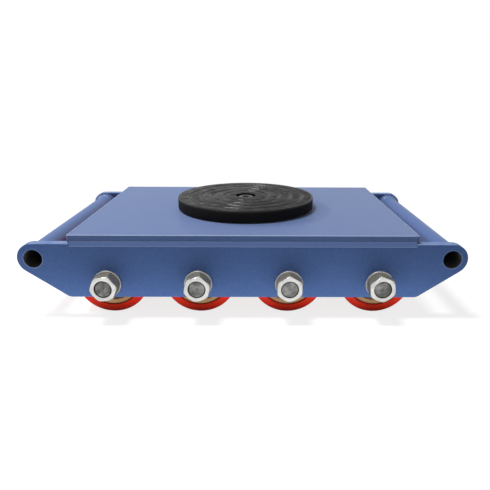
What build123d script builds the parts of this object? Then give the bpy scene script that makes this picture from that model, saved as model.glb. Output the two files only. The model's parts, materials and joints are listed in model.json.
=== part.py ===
from build123d import *
import os
from math import acos, atan2, cos, degrees, hypot, radians, sin

os.makedirs("parts", exist_ok=True)

# Machine skate: a low steel platform on eight rollers, with a load plate on top that turns.
# Millimetres. X runs along the skate, Y across it, +Y to the rear, Z up.
# The origin is on the floor, under the middle of the deck.

# Axles and their fasteners
axle_count = 4
axle_diameter = 20.0
axle_shoulder = 2.0            # step from the axle down to its threaded ends
axle_setback = 1.5             # shoulder behind the outer face of the side plate
axle_hole_clearance = 0.2
axle_end_chamfer = 1.2
washer_overlap = 4.0           # washer beyond the axle, all round
washer_thickness = 3.0
washer_hole_clearance = 0.5
nut_wall = 4.0                 # thread to flats
nut_height = 14.0
nut_corner_drop = 2.0          # how far the chamfer comes down the nut's corners
nut_face_margin = 0.5          # round face of the nut inside its flats
front_nut_turns = (8.0, 18.0, 30.0, 38.0)
rear_nut_turns = (52.0, 25.0, 4.0, 41.0)

# Ball bearings of the rollers
bearing_section = 13.5         # bore to outer face, radially
bearing_width = 14.0
bearing_ball = 7.8
bearing_ball_count = 8
bearing_ring_gap = 5.1         # open space between the shoulders of the two rings
race_clearance = 0.08          # round each ball, to its raceways
cage_wall = 2.4
cage_width = 10.0
cage_pocket_clearance = 0.3
seal_thickness = 1.0
seal_setback = 0.4             # behind the faces of the bearing rings
seal_lip_clearance = 0.3
spacer_wall = 3.0              # spacers that stand between the inner rings
spacer_bore_clearance = 0.15

# Rollers
hub_wall = 5.0                 # steel of the hub over the bearings
hub_bore_step = 3.5            # shoulder behind each bearing
hub_recess = 1.0               # ends of the hub behind the sides of the tyre
hub_edge_chamfer = 0.8
bearing_setback = 3.0          # bearings behind the ends of the hub
tyre_thickness = 9.0
tyre_edge_radius = 2.5
roller_length = 101.0
roller_gap = 3.5               # end of a roller to the plate or rib beside it
roller_spacing = 14.6          # from tyre to tyre
roller_headroom = 3.0          # tyres to the underside of the deck
roller_overhang = 0.5          # end rollers beyond the ends of the deck

# Welded frame
plate_thickness = 10.0
plate_below_axle = 15.0        # centre of the axles to the bottom edge
plate_end_margin = 4.3         # plate round the end of a tie tube
plate_foot_overhang = 1.7      # bottom edge of a side plate beyond the deck, at each end
plate_foot_radius = 9.0
plate_edge_radius = 0.6
rib_thickness = 12.0
rib_end_setback = 7.0          # ends of the rib behind the ends of the deck
rib_end_height = 26.0
rib_foot_setback = 20.0        # bottom edge shorter than the rib, at each end
tie_tube_diameter = 22.0
tie_bore = 18.0
tie_bore_chamfer = 0.5
hand_gap = 22.3                # between a tie tube and the end of the deck
deck_thickness = 8.0
deck_ledge = 3.0               # side plate showing beside the deck
deck_corner_radius = 2.0
deck_edge_radius = 0.8
deck_weld_rise = 2.0           # weld strip up the edge of the deck
deck_weld_drop = 3.1           # weld strip down the side plate
deck_weld_root = 3.0           # weld under the edge of the deck
deck_weld_setback = 0.5        # ends of the weld short of the deck's rounded corners
tube_weld_margin = 1.3         # weld ring inside the edge of the plate
tube_weld_hollow = 1.5         # radius of the weld's hollow face, in weld legs
rib_weld_leg = 5.0

# Turntable and its thrust bearing
pad_diameter = 160.0
pad_thickness = 5.0
pad_skirt = 7.0                # rubber round the edge of the turntable plate
pad_skirt_gap = 1.8            # skirt above the deck
pad_rim_radius = 2.0
groove_first_radius = 26.7
groove_pitch = 13.3
groove_radius = 1.6
groove_depth = 1.1
groove_rim_margin = 6.0        # least land between the last groove and the rim
turntable_thickness = 7.0
turntable_gap = 2.0            # turntable plate above the deck
thrust_ball = 5.0
thrust_ball_count = 36
thrust_pitch_diameter = 110.0
thrust_race_width = 12.0
thrust_race_thickness = 3.0
thrust_race_fit = 0.1          # round a race in its seat
thrust_clearance = 0.05        # round each ball, to its races
thrust_cage_width = 10.0
thrust_cage_thickness = 1.2
thrust_pocket_clearance = 0.15

# Pivot of the turntable
pivot_thread = 12.0
pivot_hole_clearance = 0.5
pivot_bush_wall = 4.0
pivot_bush_bore_clearance = 0.15
pivot_running_clearance = 0.05
pivot_end_play = 0.1
pivot_ledge = 2.0              # turntable plate held under the retaining washer
retainer_overlap = 1.7
retainer_clearance = 0.3
retainer_thickness = 2.5
pivot_head_rim = 3.0           # screw head beyond its thread
pivot_head_height = 6.0
pivot_socket_flats = 8.0
pivot_socket_depth = 3.5
pivot_head_chamfer = 0.6
pivot_washer_rim = 6.0
pivot_washer_thickness = 2.5
pivot_nut_wall = 3.0           # thread to flats
pivot_nut_height = 10.8
pivot_thread_showing = 2.0
notch_clearance = 5.0          # rib notch round the pivot nut and washer

# Working values: how far a cut starts outside its piece, and how closely an edge is picked
cut_margin = 1.0
pick_tolerance = 0.01

# Sizes that follow
bearing_outer_diameter = axle_diameter + 2 * bearing_section
hub_diameter = bearing_outer_diameter + 2 * hub_wall
tyre_diameter = hub_diameter + 2 * tyre_thickness
thread_diameter = axle_diameter - 2 * axle_shoulder
nut_across_flats = thread_diameter + 2 * nut_wall
washer_diameter = axle_diameter + 2 * washer_overlap
axle_height = tyre_diameter / 2
axle_pitch = tyre_diameter + roller_spacing
axle_places = [(number - (axle_count - 1) / 2) * axle_pitch for number in range(axle_count)]

bay_width = roller_length + 2 * roller_gap
bay_middle = (rib_thickness + bay_width) / 2
plate_inside = rib_thickness / 2 + bay_width
plate_outside = plate_inside + plate_thickness
frame_height = tyre_diameter + roller_headroom
ground_clearance = axle_height - plate_below_axle

deck_top = frame_height + deck_thickness
deck_length = (axle_count - 1) * axle_pitch + tyre_diameter - 2 * roller_overhang
deck_width = 2 * (plate_outside - deck_ledge)
tie_radius = tie_tube_diameter / 2
tie_place = deck_length / 2 + hand_gap + tie_radius
plate_end_radius = tie_radius + plate_end_margin
tie_height = frame_height - plate_end_radius
foot_place = deck_length / 2 + plate_foot_overhang

turntable_bottom = deck_top + turntable_gap
turntable_top = turntable_bottom + turntable_thickness
pad_top = turntable_top + pad_thickness
pad_radius = pad_diameter / 2
turntable_radius = pad_radius - pad_skirt
pivot_bush_diameter = pivot_thread + 2 * pivot_bush_wall
retainer_diameter = pivot_bush_diameter + 2 * retainer_overlap
pad_hole = retainer_diameter + 2 * retainer_clearance
pivot_hole = pivot_thread + 2 * pivot_hole_clearance
retainer_bottom = turntable_bottom + pivot_ledge + pivot_end_play
head_bottom = retainer_bottom + retainer_thickness
pivot_nut_top = frame_height - pivot_washer_thickness
pivot_nut_bottom = pivot_nut_top - pivot_nut_height
pivot_end = pivot_nut_bottom - pivot_thread_showing
pivot_washer_diameter = pivot_thread + 2 * pivot_washer_rim
pivot_nut_flats = pivot_thread + 2 * pivot_nut_wall


def axle_section(x, y):
    """Half section through an axle: local x runs along the axle, local y out from it."""
    return Plane(origin=(x, y, axle_height), x_dir=(0, 1, 0), z_dir=(1, 0, 0))


def axle_line(x):
    return Axis((x, 0, axle_height), (0, 1, 0))


def across(x, y, z, side):
    """Plane square to the axles that faces front (side -1) or rear (side 1)."""
    return Plane(origin=(x, y, z), x_dir=(1, 0, 0), z_dir=(0, side, 0))


def ring(middle, length, inner, outer):
    """Rectangle of a ring's half section: along the axis, then out from it."""
    with Locations((middle, (inner + outer) / 2)):
        Rectangle(length, outer - inner)


def upright_ring(inner, outer, bottom, top):
    """Rectangle of the half section of a ring that stands on the pivot axis."""
    with Locations(((inner + outer) / 2, (bottom + top) / 2)):
        Rectangle(outer - inner, top - bottom)


# Side plates: straight top, ends round the tie tubes, slanted lower corners, a chamfer for the deck weld
end_to_foot = atan2(ground_clearance - tie_height, foot_place - tie_place)
end_to_foot_length = hypot(ground_clearance - tie_height, foot_place - tie_place)
tangent_angle = end_to_foot + acos(plate_end_radius / end_to_foot_length)
tangent_x = tie_place + plate_end_radius * cos(tangent_angle)
tangent_z = tie_height + plate_end_radius * sin(tangent_angle)
weld_length = deck_length - 2 * (deck_corner_radius + deck_weld_setback)
deck_edge = deck_width / 2

for name, side in (("side_plate_front", -1), ("side_plate_rear", 1)):
    with BuildPart() as side_plate:
        with BuildSketch(Plane.XZ.offset(-side * plate_inside)):
            with BuildLine():
                Line((0, frame_height), (tie_place, frame_height))
                tangent_turn = degrees(tangent_angle)
                CenterArc((tie_place, tie_height), plate_end_radius, tangent_turn, 90 - tangent_turn)
                Line((tangent_x, tangent_z), (foot_place, ground_clearance))
                Line((foot_place, ground_clearance), (0, ground_clearance))
                mirror(about=Plane.YZ)
            make_face()
        extrude(amount=-side * plate_thickness)
        feet = side_plate.edges().filter_by(Axis.Y).group_by(Axis.Z)[0]
        fillet(feet, plate_foot_radius)
        outer_face = side_plate.faces().sort_by(Axis.Y)[0 if side < 0 else -1]
        fillet(outer_face.edges(), plate_edge_radius)
        with BuildSketch(Plane.XZ.offset(-side * plate_outside)):
            with Locations((-tie_place, tie_height), (tie_place, tie_height)):
                Circle(tie_bore / 2)
            with Locations(*[(x, axle_height) for x in axle_places]):
                Circle(axle_diameter / 2 + axle_hole_clearance)
        extrude(amount=side * plate_thickness, mode=Mode.SUBTRACT)
        rims = side_plate.edges().filter_by(GeomType.CIRCLE).filter_by(
            lambda edge: abs(edge.radius - tie_bore / 2) < pick_tolerance
            and abs(edge.center().Y - side * plate_outside) < pick_tolerance
        )
        chamfer(rims, tie_bore_chamfer)
        with BuildSketch(Plane.YZ):
            with BuildLine():
                Polyline(
                    (side * plate_outside, frame_height + cut_margin),
                    (side * (plate_outside + cut_margin), frame_height + cut_margin),
                    (side * (plate_outside + cut_margin), frame_height - deck_weld_drop),
                    (side * plate_outside, frame_height - deck_weld_drop),
                    (side * (deck_edge - deck_weld_root), frame_height),
                    (side * (deck_edge - deck_weld_root), frame_height + cut_margin),
                    close=True,
                )
            make_face()
        extrude(amount=weld_length / 2, both=True, mode=Mode.SUBTRACT)
    side_plate.part.label = name
    export_step(side_plate.part, f"parts/{name}.step")

# Deck plate, with the seat of the lower race and the pivot hole
race_inner = (thrust_pitch_diameter - thrust_race_width) / 2
race_outer = (thrust_pitch_diameter + thrust_race_width) / 2
with BuildPart() as deck_plate:
    with BuildSketch(Plane.XY.offset(frame_height)):
        Rectangle(deck_length, deck_width)
    extrude(amount=deck_thickness)
    fillet(deck_plate.edges().filter_by(Axis.Z), deck_corner_radius)
    fillet(deck_plate.faces().sort_by(Axis.Z)[-1].edges(), deck_edge_radius)
    with BuildSketch(Plane.XY.offset(deck_top)):
        Circle(race_outer + thrust_race_fit)
        Circle(race_inner - thrust_race_fit, mode=Mode.SUBTRACT)
    extrude(amount=-thrust_race_thickness, mode=Mode.SUBTRACT)
    with Locations((0, 0, deck_top)):
        Hole(pivot_hole / 2)
deck_plate.part.label = "deck_plate"
export_step(deck_plate.part, "parts/deck_plate.step")

# Centre rib, which carries the middle of every axle
rib_half = deck_length / 2 - rib_end_setback
notch_width = pivot_washer_diameter + 2 * notch_clearance
notch_depth = frame_height - pivot_end + notch_clearance
with BuildPart() as centre_rib:
    with BuildSketch(Plane.XZ):
        with BuildLine():
            Polyline(
                (0, frame_height),
                (rib_half, frame_height),
                (rib_half, frame_height - rib_end_height),
                (rib_half - rib_foot_setback, ground_clearance),
                (0, ground_clearance),
            )
            mirror(about=Plane.YZ)
        make_face()
        with Locations(*[(x, axle_height) for x in axle_places]):
            Circle(axle_diameter / 2 + axle_hole_clearance, mode=Mode.SUBTRACT)
        with Locations((0, frame_height)):
            Rectangle(notch_width, 2 * notch_depth, mode=Mode.SUBTRACT)
    extrude(amount=rib_thickness / 2, both=True)
    fillet(
        centre_rib.edges().filter_by(Axis.Y).filter_by(
            lambda edge: abs(edge.center().Z - frame_height + notch_depth) < pick_tolerance
        ),
        notch_clearance,
    )
centre_rib.part.label = "centre_rib"
export_step(centre_rib.part, "parts/centre_rib.step")

# Tie tubes, welded between the side plates round their bores
for name, side in (("tie_tube_left", -1), ("tie_tube_right", 1)):
    with BuildPart() as tie_tube:
        with BuildSketch(across(side * tie_place, 0, tie_height, 1)):
            Circle(tie_radius)
            Circle(tie_bore / 2, mode=Mode.SUBTRACT)
        extrude(amount=plate_inside, both=True)
    tie_tube.part.label = name
    export_step(tie_tube.part, f"parts/{name}.step")

# Welds: deck to side plates, tie tubes to side plates, rib to deck
with BuildPart() as deck_welds:
    for side in (-1, 1):
        with BuildSketch(Plane.YZ):
            with BuildLine():
                Polyline(
                    (side * plate_outside, frame_height - deck_weld_drop),
                    (side * deck_edge, frame_height + deck_weld_rise),
                    (side * deck_edge, frame_height),
                    (side * (deck_edge - deck_weld_root), frame_height),
                    close=True,
                )
            make_face()
    extrude(amount=weld_length / 2, both=True)
deck_welds.part.label = "deck_welds"
export_step(deck_welds.part, "parts/deck_welds.step")

tube_weld_leg = plate_end_margin - tube_weld_margin
with BuildPart() as tube_welds:
    for end in (-1, 1):
        tube_axis = Axis((end * tie_place, 0, tie_height), (0, 1, 0))
        tube_section = Plane(origin=(end * tie_place, 0, tie_height), x_dir=(0, 1, 0), z_dir=(1, 0, 0))
        with BuildSketch(tube_section):
            for side in (-1, 1):
                with BuildLine():
                    toe = (side * (plate_inside - tube_weld_leg), tie_radius)
                    root = (side * plate_inside, tie_radius)
                    top = (side * plate_inside, tie_radius + tube_weld_leg)
                    Polyline(toe, root, top)
                    RadiusArc(top, toe, side * tube_weld_hollow * tube_weld_leg)
                make_face()
        revolve(axis=tube_axis)
tube_welds.part.label = "tube_welds"
export_step(tube_welds.part, "parts/tube_welds.step")

with BuildPart() as rib_welds:
    for side in (-1, 1):
        with BuildSketch(Plane.YZ):
            with BuildLine():
                Polyline(
                    (side * rib_thickness / 2, frame_height),
                    (side * (rib_thickness / 2 + rib_weld_leg), frame_height),
                    (side * rib_thickness / 2, frame_height - rib_weld_leg),
                    close=True,
                )
            make_face()
    extrude(amount=rib_half, both=True)
    with BuildSketch(Plane.XY.offset(frame_height)):
        Rectangle(notch_width, 2 * (rib_thickness + rib_weld_leg))
    extrude(amount=-rib_weld_leg, mode=Mode.SUBTRACT)
rib_welds.part.label = "rib_welds"
export_step(rib_welds.part, "parts/rib_welds.step")

# Axles: straight bars with a shoulder and a threaded end at each side
thread_end = plate_outside + washer_thickness + nut_height
with BuildPart() as axles:
    for x in axle_places:
        with BuildSketch(axle_section(x, 0)):
            ring(0, 2 * thread_end, 0, thread_diameter / 2)
            ring(0, 2 * (plate_outside - axle_setback), 0, axle_diameter / 2)
        revolve(axis=axle_line(x))
    ends = axles.faces().filter_by(Axis.Y).group_by(Axis.Y)
    chamfer(ends[0].edges() + ends[-1].edges(), axle_end_chamfer)
axles.part.label = "axles"
export_step(axles.part, "parts/axles.step")

# Washers and nuts at both ends of every axle
nut_corner_radius = nut_across_flats / 2 / cos(radians(30))
nut_face_radius = nut_across_flats / 2 - nut_face_margin
for row, side, turns in (("front", -1, front_nut_turns), ("rear", 1, rear_nut_turns)):
    with BuildPart() as washers:
        for x in axle_places:
            with BuildSketch(across(x, side * plate_outside, axle_height, side)):
                Circle(washer_diameter / 2)
                Circle(thread_diameter / 2 + washer_hole_clearance, mode=Mode.SUBTRACT)
        extrude(amount=washer_thickness)
    washers.part.label = f"axle_washers_{row}"
    export_step(washers.part, f"parts/axle_washers_{row}.step")

    nut_seat = side * (plate_outside + washer_thickness)
    with BuildPart() as nuts:
        for x, turn in zip(axle_places, turns):
            with BuildSketch(across(x, nut_seat, axle_height, side)):
                RegularPolygon(nut_corner_radius, 6, rotation=-side * turn)
                Circle(thread_diameter / 2, mode=Mode.SUBTRACT)
        extrude(amount=nut_height)
        for x in axle_places:
            with BuildSketch(axle_section(x, nut_seat + side * nut_height / 2)):
                for end in (-1, 1):
                    with BuildLine():
                        Polyline(
                            (end * nut_height / 2, nut_face_radius),
                            (end * nut_height / 2, nut_corner_radius),
                            (end * (nut_height / 2 - nut_corner_drop), nut_corner_radius),
                            close=True,
                        )
                    make_face()
            revolve(axis=axle_line(x), mode=Mode.SUBTRACT)
    nuts.part.label = f"axle_nuts_{row}"
    export_step(nuts.part, f"parts/axle_nuts_{row}.step")

# Places along an axle, from the middle of a roller
hub_half = roller_length / 2 - hub_recess
bearing_place = hub_half - bearing_setback - bearing_width / 2
bearing_pitch = (axle_diameter + bearing_section) / 2
inner_shoulder = bearing_pitch - bearing_ring_gap / 2
outer_shoulder = bearing_pitch + bearing_ring_gap / 2
raceway_radius = bearing_ball / 2 + race_clearance
spacer_radius = axle_diameter / 2 + spacer_bore_clearance
spacer_outer = axle_diameter / 2 + spacer_wall
end_spacer_length = bay_width / 2 - bearing_place - bearing_width / 2
distance_length = 2 * bearing_place - bearing_width

# What stands still on the axles: spacers, distance tubes and the inner rings of the bearings
with BuildPart() as end_spacers:
    for x in axle_places:
        for side in (-1, 1):
            with BuildSketch(axle_section(x, side * bay_middle)):
                for end in (-1, 1):
                    middle = end * (bay_width - end_spacer_length) / 2
                    ring(middle, end_spacer_length, spacer_radius, spacer_outer)
            revolve(axis=axle_line(x))
end_spacers.part.label = "end_spacers"
export_step(end_spacers.part, "parts/end_spacers.step")

with BuildPart() as distance_tubes:
    for x in axle_places:
        for side in (-1, 1):
            with BuildSketch(axle_section(x, side * bay_middle)):
                ring(0, distance_length, spacer_radius, spacer_outer)
            revolve(axis=axle_line(x))
distance_tubes.part.label = "distance_tubes"
export_step(distance_tubes.part, "parts/distance_tubes.step")

with BuildPart() as inner_rings:
    for x in axle_places:
        for side in (-1, 1):
            with BuildSketch(axle_section(x, side * bay_middle)):
                for end in (-1, 1):
                    ring(end * bearing_place, bearing_width, axle_diameter / 2, inner_shoulder)
                    with Locations((end * bearing_place, bearing_pitch)):
                        Circle(raceway_radius, mode=Mode.SUBTRACT)
            revolve(axis=axle_line(x))
inner_rings.part.label = "bearing_inner_rings"
export_step(inner_rings.part, "parts/bearing_inner_rings.step")

# Eight rollers: tyre, hub, bearing shells, and the balls in their cages
seal_middle = bearing_width / 2 - seal_setback - seal_thickness / 2
pocket_radius = bearing_ball / 2 + cage_pocket_clearance
cage_inner = bearing_pitch - cage_wall / 2
for row, side in (("front", -1), ("rear", 1)):
    for number, x in enumerate(axle_places, 1):
        section = axle_section(x, side * bay_middle)

        with BuildPart() as tyre:
            with BuildSketch(section) as tyre_profile:
                ring(0, roller_length, hub_diameter / 2, tyre_diameter / 2)
                fillet(tyre_profile.vertices().group_by(Axis.Z)[-1], tyre_edge_radius)
            revolve(axis=axle_line(x))
        tyre.part.label = f"tyre_{row}_{number}"
        export_step(tyre.part, f"parts/tyre_{row}_{number}.step")

        with BuildPart() as hub:
            with BuildSketch(section) as hub_profile:
                ring(0, 2 * hub_half, bearing_outer_diameter / 2 - hub_bore_step, hub_diameter / 2)
                seat_depth = bearing_setback + bearing_width
                for end in (-1, 1):
                    with Locations((end * (hub_half - seat_depth / 2), 0)):
                        Rectangle(seat_depth, bearing_outer_diameter, mode=Mode.SUBTRACT)
            revolve(axis=axle_line(x))
            mouths = hub.edges().filter_by(GeomType.CIRCLE).filter_by(
                lambda edge: abs(edge.radius - bearing_outer_diameter / 2) < pick_tolerance
            )
            chamfer(mouths.sort_by(Axis.Y)[0], hub_edge_chamfer)
            chamfer(mouths.sort_by(Axis.Y)[-1], hub_edge_chamfer)
        hub.part.label = f"hub_{row}_{number}"
        export_step(hub.part, f"parts/hub_{row}_{number}.step")

        with BuildPart() as shells:
            with BuildSketch(section):
                for end in (-1, 1):
                    ring(end * bearing_place, bearing_width, outer_shoulder, bearing_outer_diameter / 2)
                    with Locations((end * bearing_place, bearing_pitch)):
                        Circle(raceway_radius, mode=Mode.SUBTRACT)
            revolve(axis=axle_line(x))
        with BuildPart() as seals:
            with BuildSketch(section):
                for end in (-1, 1):
                    for face in (-1, 1):
                        ring(
                            end * bearing_place + face * seal_middle,
                            seal_thickness,
                            inner_shoulder + seal_lip_clearance,
                            outer_shoulder,
                        )
            revolve(axis=axle_line(x))
        bearing_shells = Compound(
            label=f"bearing_shells_{row}_{number}", children=[*shells.part.solids(), *seals.part.solids()]
        )
        export_step(bearing_shells, f"parts/bearing_shells_{row}_{number}.step")

        with BuildPart() as cages:
            with BuildSketch(section):
                for end in (-1, 1):
                    ring(end * bearing_place, cage_width, cage_inner, cage_inner + cage_wall)
            revolve(axis=axle_line(x))
            for end in (-1, 1):
                with Locations(across(x, side * bay_middle + end * bearing_place, axle_height, 1)):
                    with PolarLocations(bearing_pitch, bearing_ball_count):
                        Cylinder(pocket_radius, 2 * cage_wall, rotation=(0, 90, 0), mode=Mode.SUBTRACT)
        with BuildPart() as balls:
            for end in (-1, 1):
                with Locations(across(x, side * bay_middle + end * bearing_place, axle_height, 1)):
                    with PolarLocations(bearing_pitch, bearing_ball_count):
                        Sphere(bearing_ball / 2)
        ball_cages = Compound(
            label=f"bearing_balls_{row}_{number}", children=[*cages.part.solids(), *balls.part.solids()]
        )
        export_step(ball_cages, f"parts/bearing_balls_{row}_{number}.step")

# Thrust bearing between the deck and the turntable
thrust_middle = (deck_top + turntable_bottom) / 2
thrust_pitch = thrust_pitch_diameter / 2
for name, bottom in (("lower_race", deck_top - thrust_race_thickness), ("upper_race", turntable_bottom)):
    with BuildPart() as race:
        with BuildSketch(Plane.XZ):
            upright_ring(race_inner, race_outer, bottom, bottom + thrust_race_thickness)
            with Locations((thrust_pitch, thrust_middle)):
                Circle(thrust_ball / 2 + thrust_clearance, mode=Mode.SUBTRACT)
        revolve(axis=Axis.Z)
    race.part.label = name
    export_step(race.part, f"parts/{name}.step")

with BuildPart() as thrust_cage:
    with BuildSketch(Plane.XY.offset(thrust_middle - thrust_cage_thickness / 2)):
        Circle((thrust_pitch_diameter + thrust_cage_width) / 2)
        Circle((thrust_pitch_diameter - thrust_cage_width) / 2, mode=Mode.SUBTRACT)
        with PolarLocations(thrust_pitch, thrust_ball_count):
            Circle(thrust_ball / 2 + thrust_pocket_clearance, mode=Mode.SUBTRACT)
    extrude(amount=thrust_cage_thickness)
thrust_cage.part.label = "thrust_cage"
export_step(thrust_cage.part, "parts/thrust_cage.step")

with BuildPart() as thrust_balls:
    with Locations((0, 0, thrust_middle)):
        with PolarLocations(thrust_pitch, thrust_ball_count):
            Sphere(thrust_ball / 2)
thrust_balls.part.label = "thrust_balls"
export_step(thrust_balls.part, "parts/thrust_balls.step")

# Turntable plate, with the seat of the upper race and the counterbore of the retaining washer
with BuildPart() as turntable_plate:
    with BuildSketch(Plane.XZ):
        bore = pivot_bush_diameter / 2 + pivot_running_clearance
        upright_ring(bore, turntable_radius, turntable_bottom, turntable_top)
        with Locations((0, (turntable_bottom + pivot_ledge + turntable_top) / 2)):
            Rectangle(pad_hole, turntable_thickness - pivot_ledge, mode=Mode.SUBTRACT)
        with Locations((thrust_pitch, turntable_bottom)):
            Rectangle(
                thrust_race_width + 2 * thrust_race_fit, 2 * thrust_race_thickness, mode=Mode.SUBTRACT
            )
    revolve(axis=Axis.Z)
turntable_plate.part.label = "turntable_plate"
export_step(turntable_plate.part, "parts/turntable_plate.step")

# Rubber grip pad: a cap over the turntable plate, with round grooves in its top
groove_count = int((pad_radius - groove_rim_margin - groove_first_radius) / groove_pitch) + 1
groove_places = [groove_first_radius + number * groove_pitch for number in range(groove_count)]
with BuildPart() as grip_pad:
    with BuildSketch(Plane.XZ):
        upright_ring(pad_hole / 2, pad_radius, turntable_top, pad_top)
        upright_ring(turntable_radius, pad_radius, deck_top + pad_skirt_gap, turntable_top)
        with Locations(*[(place, pad_top + groove_radius - groove_depth) for place in groove_places]):
            Circle(groove_radius, mode=Mode.SUBTRACT)
    revolve(axis=Axis.Z)
    rim = grip_pad.edges().filter_by(GeomType.CIRCLE).filter_by(
        lambda edge: abs(edge.radius - pad_radius) < pick_tolerance
        and abs(edge.center().Z - pad_top) < pick_tolerance
    )
    fillet(rim, pad_rim_radius)
grip_pad.part.label = "grip_pad"
export_step(grip_pad.part, "parts/grip_pad.step")

# Pivot: socket screw, bush, retaining washer, lower washer and nut
with BuildPart() as pivot_screw:
    with BuildSketch(Plane.XZ):
        upright_ring(0, pivot_thread / 2, pivot_end, head_bottom)
        upright_ring(0, pivot_thread / 2 + pivot_head_rim, head_bottom, head_bottom + pivot_head_height)
    revolve(axis=Axis.Z)
    chamfer(pivot_screw.faces().sort_by(Axis.Z)[-1].edges(), pivot_head_chamfer)
    with BuildSketch(Plane.XY.offset(head_bottom + pivot_head_height)):
        RegularPolygon(pivot_socket_flats / 2, 6, major_radius=False)
    extrude(amount=-pivot_socket_depth, mode=Mode.SUBTRACT)
pivot_screw.part.label = "pivot_screw"
export_step(pivot_screw.part, "parts/pivot_screw.step")

pivot_rings = (
    ("pivot_bush", pivot_bush_diameter, pivot_bush_bore_clearance, deck_top, retainer_bottom),
    ("pivot_retaining_washer", retainer_diameter, pivot_bush_bore_clearance, retainer_bottom, head_bottom),
    ("pivot_washer", pivot_washer_diameter, pivot_hole_clearance, pivot_nut_top, frame_height),
)
for name, diameter, clearance, bottom, top in pivot_rings:
    with BuildPart() as pivot_ring:
        with BuildSketch(Plane.XZ):
            upright_ring(pivot_thread / 2 + clearance, diameter / 2, bottom, top)
        revolve(axis=Axis.Z)
    pivot_ring.part.label = name
    export_step(pivot_ring.part, f"parts/{name}.step")

with BuildPart() as pivot_nut:
    with BuildSketch(Plane.XY.offset(pivot_nut_bottom)):
        RegularPolygon(pivot_nut_flats / 2, 6, major_radius=False)
        Circle(pivot_thread / 2, mode=Mode.SUBTRACT)
    extrude(amount=pivot_nut_height)
pivot_nut.part.label = "pivot_nut"
export_step(pivot_nut.part, "parts/pivot_nut.step")

length = 2 * (tie_place + plate_end_radius)
print(f"length {length:.1f}, width over nuts {2 * thread_end:.1f}, height {pad_top:.1f}")
print(f"deck {deck_length:.1f} x {deck_width:.1f}, width over plates {2 * plate_outside:.1f}")
print(f"tyre {tyre_diameter:.1f}, hub {hub_diameter:.1f}, bearing {bearing_outer_diameter:.1f}")
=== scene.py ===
# %% [markdown]
# # A machine skate, dressed for its picture
#
# A machine skate is a low, heavy trolley: a welded steel frame on polyurethane rollers, with a round plate
# on top that turns under the load. Its construction is settled already and arrives as a fixed frame of
# named nodes, in metres, so nothing here moves or resizes it. What is left for this notebook is what the
# eye needs: threads, rounded edges, weld beads, the finish of every surface, the light and the camera.

# %% Load the fixed frame
import json
import math

import bmesh
import bpy
from mathutils import Matrix, Vector


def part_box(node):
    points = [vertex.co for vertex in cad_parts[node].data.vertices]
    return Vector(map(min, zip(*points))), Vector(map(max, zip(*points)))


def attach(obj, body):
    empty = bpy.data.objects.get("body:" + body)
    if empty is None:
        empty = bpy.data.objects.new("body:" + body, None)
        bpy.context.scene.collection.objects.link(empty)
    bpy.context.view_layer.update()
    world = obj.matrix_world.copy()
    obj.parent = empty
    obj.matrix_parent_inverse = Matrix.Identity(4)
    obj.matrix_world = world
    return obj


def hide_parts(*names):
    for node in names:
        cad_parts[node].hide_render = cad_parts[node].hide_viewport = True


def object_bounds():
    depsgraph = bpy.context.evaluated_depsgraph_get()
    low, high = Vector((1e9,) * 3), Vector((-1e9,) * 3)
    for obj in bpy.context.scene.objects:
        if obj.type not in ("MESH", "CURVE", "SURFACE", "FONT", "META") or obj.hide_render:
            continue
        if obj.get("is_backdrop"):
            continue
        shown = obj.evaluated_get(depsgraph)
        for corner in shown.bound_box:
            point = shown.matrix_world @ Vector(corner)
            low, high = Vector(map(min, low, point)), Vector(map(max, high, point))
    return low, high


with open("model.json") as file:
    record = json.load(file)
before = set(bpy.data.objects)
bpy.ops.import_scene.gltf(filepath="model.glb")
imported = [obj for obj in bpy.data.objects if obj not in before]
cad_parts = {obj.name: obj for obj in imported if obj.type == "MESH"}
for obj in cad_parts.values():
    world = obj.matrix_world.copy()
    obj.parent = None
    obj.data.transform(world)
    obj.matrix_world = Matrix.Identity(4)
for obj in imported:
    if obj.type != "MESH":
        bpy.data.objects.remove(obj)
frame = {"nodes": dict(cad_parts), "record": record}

MM = 0.001
nodes = frame["nodes"]
cad_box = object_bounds()

# %% [markdown]
# ## The camera
#
# The picture was taken from a little above, almost square to the long side. The camera could be aimed with
# a Track To constraint, but a small roll and yaw are part of the view. So the three axes of the camera are
# worked out from its angles and written straight into its matrix. The focal length is kept in pixels of the
# 490 pixel frame, because that is how it was measured. The picture is a crop: the lens looks at a point a
# little right of its middle, so the camera gets a small shift.

# %% Place the camera
PICTURE_PIXELS = 490
LENS_COLUMN = 259.26
FOCAL_PIXELS = 476.83
SENSOR = 36.0
NEAREST_SIGHT = 0.01
CAMERA_PLACE = Vector((10.54, -561.70, 220.00)) * MM
CAMERA_PITCH = math.radians(18.036)
CAMERA_YAW = math.radians(0.608)
CAMERA_ROLL = math.radians(0.349)

forward = Vector((
    math.sin(CAMERA_YAW) * math.cos(CAMERA_PITCH),
    math.cos(CAMERA_YAW) * math.cos(CAMERA_PITCH),
    -math.sin(CAMERA_PITCH),
))
level_right = forward.cross(Vector((0, 0, 1))).normalized()
level_up = level_right.cross(forward)
right = level_right * math.cos(CAMERA_ROLL) + level_up * math.sin(CAMERA_ROLL)
up = right.cross(forward)

camera_data = bpy.data.cameras.new("picture_camera")
camera_data.sensor_width = SENSOR
camera_data.lens = FOCAL_PIXELS / PICTURE_PIXELS * SENSOR
camera_data.shift_x = 0.5 - LENS_COLUMN / PICTURE_PIXELS
camera_data.clip_start = NEAREST_SIGHT
camera = bpy.data.objects.new("picture_camera", camera_data)
camera.matrix_world = Matrix((right, up, -forward)).transposed().to_4x4()
camera.matrix_world.translation = CAMERA_PLACE
bpy.context.scene.collection.objects.link(camera)
bpy.context.scene.camera = camera
print("lens", round(camera_data.lens, 2), "mm, looking along", [round(part, 3) for part in forward])

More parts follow.
